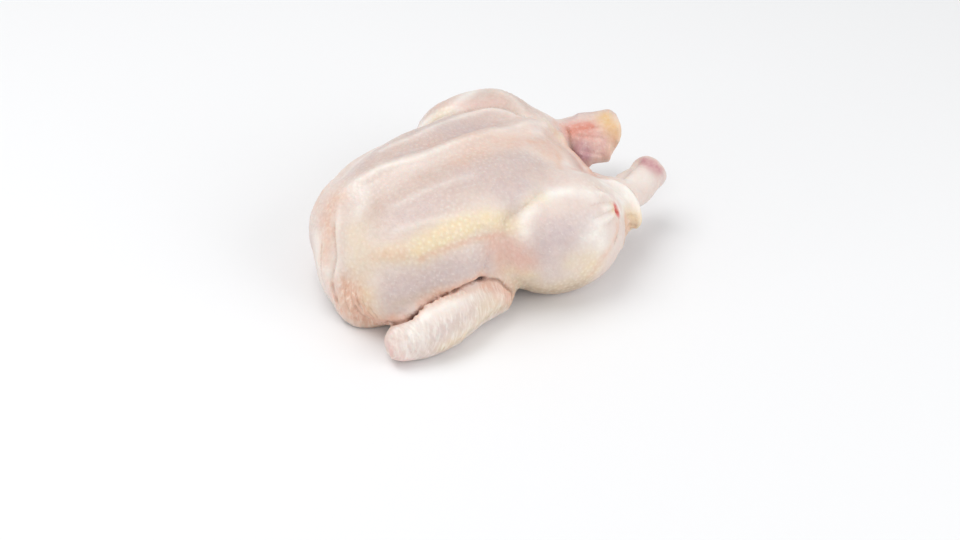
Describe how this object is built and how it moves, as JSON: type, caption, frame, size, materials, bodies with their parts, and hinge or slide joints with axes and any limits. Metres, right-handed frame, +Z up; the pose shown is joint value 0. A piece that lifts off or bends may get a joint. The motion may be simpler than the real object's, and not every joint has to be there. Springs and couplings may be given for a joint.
{
  "type": "whole raw chicken",
  "caption": "Whole raw chicken lying on its back, breast up, wings folded at its sides, neck and feet cut off, for tables, trays and kitchens.",
  "frame": {"origin": "middle of the underside of the bounding box, on the surface the bird lies on", "axes": "+X from the neck end to the cut leg ends, +Y from the wing and leg shown nearest to the viewer to the far ones, +Z up, from the back to the breast"},
  "size_m": [0.285, 0.1874, 0.1027],
  "materials": {
    "skin": "moist raw skin, pale pinkish cream with soft yellow fat and purple-grey muscle showing through"
  },
  "bodies": {
    "root": {"chicken": "skin"}
  },
  "joints": []
}
